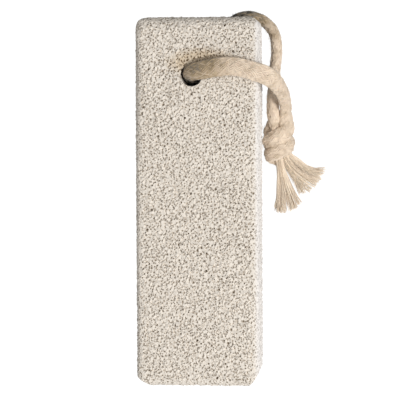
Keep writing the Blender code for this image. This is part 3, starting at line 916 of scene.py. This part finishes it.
def build_stone(box):
    """The whole stone, leaned and set into the middle of its box, with its top at the box's top."""
    rng = np.random.default_rng(STONE_SEED)
    surface = StoneSurface()
    front_ring, back_ring = build_hole(surface, rng)
    for axis, way, across_a, across_b in BLOCK_FACES:
        hole_ring = (front_ring if way > 0 else back_ring) if axis == 2 else []
        build_face(surface, axis, way, across_a, across_b, hole_ring, rng)
    spots = np.array(surface.spots)
    outwards = np.array(surface.outwards)
    swell = np.array([sum(noise.noise(Vector(p) * scale) * height for height, scale in SWELLS)
                      for p in spots.tolist()])
    on_edge = np.abs(outwards).max(axis=1) < 0.999
    pushes = (np.array(surface.pushes) + swell) * np.where(on_edge, EDGE_CALM, 1.0)
    for axis, side, deep, wide, start in SOFT_SIDES:
        share = np.clip(1 - (STONE_HALF[axis] - side * spots[:, axis]) / wide, 0, 1)
        fade = np.clip((spots[:, 1] - start) / SOFT_FADE, 0, 1)
        spots[:, 2] *= 1 - deep / STONE_HALF[2] * share**2 * fade
    spots = worn(spots + outwards * pushes[:, None])
    turned = spots.copy()
    turned[:, 0] += STONE_ASIDE
    turned[:, 1] = spots[:, 1] * math.cos(STONE_PITCH) - spots[:, 2] * math.sin(STONE_PITCH)
    turned[:, 2] = spots[:, 1] * math.sin(STONE_PITCH) + spots[:, 2] * math.cos(STONE_PITCH)
    turned = turned * MM
    low, high = box
    turned[:, :2] += (np.array(low) + np.array(high))[:2] / 2
    turned[:, 2] = np.maximum(turned[:, 2] + high[2] - turned[:, 2].max(), 0.0)
    mesh = bpy.data.meshes.new("pumice_stone_block")
    mesh.from_pydata(turned.tolist(), [], surface.triangles)
    set_attribute(mesh, "pore", surface.depths)
    set_attribute(mesh, "grain", rng.random(len(spots)))
    return new_object("pumice_stone_block", mesh)


PUMICE_PALE = (0.795, 0.731, 0.648)
# The brown painted in the pores as shade, deepest at their bottoms.
PUMICE_PORE_SHADE = (0.24, 0.175, 0.11)
# How much the grains differ, and the pale and deep patches, with their number to a metre.
GRAIN_SHARE = 0.12
STONE_PATCH_SHARE = 0.25
STONE_PATCH_SCALE = 90.0
# The right side, which faces the lamp, is painted paler and greyer as a painted highlight: its colour, where
# it starts and thickens, and how much of the pores' painted shade it hides.
PUMICE_HIGHLIGHT = (0.84, 0.8, 0.76)
HIGHLIGHT_START = 18.4 * MM
HIGHLIGHT_FADE = 1.2 * MM
HIGHLIGHT_HIDES = 0.55
# Above the hole the front face is browner, partly a stain the cord has rubbed in and partly the cord's
# painted
# shadow: where, how far each way, how sharp its edge is, what it leaves of the colour, and how much deeper it
# makes the pores' shade.
STAIN_AND_SHADOW_PLACE = Vector((1.2, 45.0, 29.5)) * MM
STAIN_AND_SHADOW_SPREAD = Vector((1 / 12.5, 1 / 5.2, 1 / 6.0)) / MM
STAIN_AND_SHADOW_EDGE = 2.2
STAIN_AND_SHADOW_LEAVES = (0.89, 0.81, 0.69)
STAIN_AND_SHADOW_DEEPENS = 0.8
# Open cells too small for the mesh: how many to a metre, the reach and edge of each, and the shade painted in
# it.
SPECK_SCALE = 1200.0
SPECK_REACH = 0.4
SPECK_STEEPNESS = 5.0
SPECK_SHADE = 0.72
# The finest relief: cells, crumbs and the specks, and how deep it is.
CELL_SCALE = 1500.0
CRUMB_SCALE = 1800.0
SPECK_RELIEF = 2.0
FINE_DEPTH = 0.12 * MM


def pumice_material():
    """Pale volcanic glass foam: cream grains and brown painted shade in the pores, with finer pores than the
    mesh carries, a painted highlight on the right side and a brown stain with painted shadow above the hole.
    """
    material, graph, shader = new_material("pumice")
    place = graph.node("ShaderNodeTexCoord", output="Object")
    pore = graph.node("ShaderNodeAttribute", {"attribute_name": "pore"}, output="Fac")
    grain = graph.node("ShaderNodeAttribute", {"attribute_name": "grain"}, output="Fac")
    patches = graph.node("ShaderNodeTexNoise", {},
                         {"Vector": place, "Scale": STONE_PATCH_SCALE, "Detail": 3.0})
    cells = graph.node("ShaderNodeTexVoronoi", {}, {"Vector": place, "Scale": CELL_SCALE})
    crumbs = graph.node("ShaderNodeTexNoise", {}, {"Vector": place, "Scale": CRUMB_SCALE, "Detail": 2.0})
    speck_far = graph.node("ShaderNodeTexVoronoi", {}, {"Vector": place, "Scale": SPECK_SCALE})
    specks = ((SPECK_REACH - speck_far) * SPECK_STEEPNESS).held()
    # The painted highlight on the right side.
    sideways = graph.node("ShaderNodeSeparateXYZ", {}, {"Vector": place}, output="X")
    painted_highlight = ((sideways - HIGHLIGHT_START) / HIGHLIGHT_FADE).held()
    # The rubbed brown stain and the cord's painted shadow above the hole.
    stain_and_shadow_far = graph.node("ShaderNodeVectorMath", {"operation": "LENGTH"},
                           {0: (place - STAIN_AND_SHADOW_PLACE) * STAIN_AND_SHADOW_SPREAD}, output="Value")
    stain_and_shadow = ((1.0 - stain_and_shadow_far) * STAIN_AND_SHADOW_EDGE).held()
    # The pores and specks are painted darker as shade, more in the stain and shadow above the hole, less
    # under the painted highlight.
    tone = ((pore ** 2.0) + (grain - 0.5) * GRAIN_SHARE + (patches - 0.5) * STONE_PATCH_SHARE
            + specks * SPECK_SHADE) * (1.0 - painted_highlight * HIGHLIGHT_HIDES + stain_and_shadow * STAIN_AND_SHADOW_DEEPENS)
    clean = mixed(graph, tone, mixed(graph, painted_highlight, PUMICE_PALE, PUMICE_HIGHLIGHT), PUMICE_PORE_SHADE)
    colour = mixed(graph, stain_and_shadow, clean, STAIN_AND_SHADOW_LEAVES, "MULTIPLY")
    bump = graph.node("ShaderNodeBump", {}, {"Height": cells + crumbs - specks * SPECK_RELIEF,
                                             "Strength": 0.7, "Distance": FINE_DEPTH})
    graph.fill(shader, {"Base Color": colour, "Normal": bump, "Roughness": 0.95, "Specular IOR Level": 0.15})
    return material


stone = build_stone(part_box("pumice_stone"))
stone.data.materials.append(pumice_material())
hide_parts("pumice_stone")
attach(stone, "root")


# ---- The floor and the light ----
# A plain white table, a white surround that is brighter overhead, and one soft lamp over the right. The
# table glows, but its glow doesn't light what lies on it.

WHITE = (1.0, 1.0, 1.0, 1.0)
FLOOR_REACH = 3.0
FLOOR_DROP = 0.1 * MM
floor_mesh = bpy.data.meshes.new("floor")
floor_mesh.from_pydata([(x * FLOOR_REACH, y * FLOOR_REACH, -FLOOR_DROP)
                        for x, y in ((-1, -1), (1, -1), (1, 1), (-1, 1))], [], [(0, 1, 2, 3)])
floor = new_object("floor", floor_mesh)
floor_paint, floor_graph, floor_shader = new_material("white_table")
floor_graph.fill(floor_shader, {
    "Base Color": (0.2, 0.2, 0.2, 1.0), "Roughness": 0.9, "Specular IOR Level": 0.0,
    "Emission Color": WHITE, "Emission Strength": 1.0,
})
floor_mesh.materials.append(floor_paint)
floor.visible_diffuse = False

SURROUND_STRENGTH = 0.36
SURROUND_SLOPE = Vector((0.04, -0.22, 0.26))
world = bpy.data.worlds.new("surround")
world.use_nodes = True
world_graph = Graph(world.node_tree)
ahead = world_graph.node("ShaderNodeTexCoord", output="Generated")
slope = world_graph.node("ShaderNodeVectorMath", {"operation": "DOT_PRODUCT"}, {0: ahead, 1: SURROUND_SLOPE},
                         output="Value")
world_graph.fill(world.node_tree.nodes["Background"],
                 {"Color": WHITE, "Strength": slope + SURROUND_STRENGTH})
bpy.context.scene.world = world
bpy.context.scene.view_settings.view_transform = "Standard"

LAMP_DISTANCE = 0.9
LAMP_SIZE = 0.3
LAMP_POWER = 5.1
LAMP_TURN = math.radians(-18)
LAMP_HEIGHT = math.radians(48)
lamp_way = Vector((math.cos(LAMP_TURN) * math.cos(LAMP_HEIGHT), math.sin(LAMP_TURN) * math.cos(LAMP_HEIGHT),
                   math.sin(LAMP_HEIGHT)))
lamp_data = bpy.data.lights.new("soft_lamp", "AREA")
lamp_data.shape = "DISK"
lamp_data.size = LAMP_SIZE
lamp_data.energy = LAMP_POWER
lamp = new_object("soft_lamp", lamp_data)
lamp.location = lamp_way * LAMP_DISTANCE
lamp.rotation_euler = (-lamp.location).to_track_quat("-Z", "Y").to_euler()
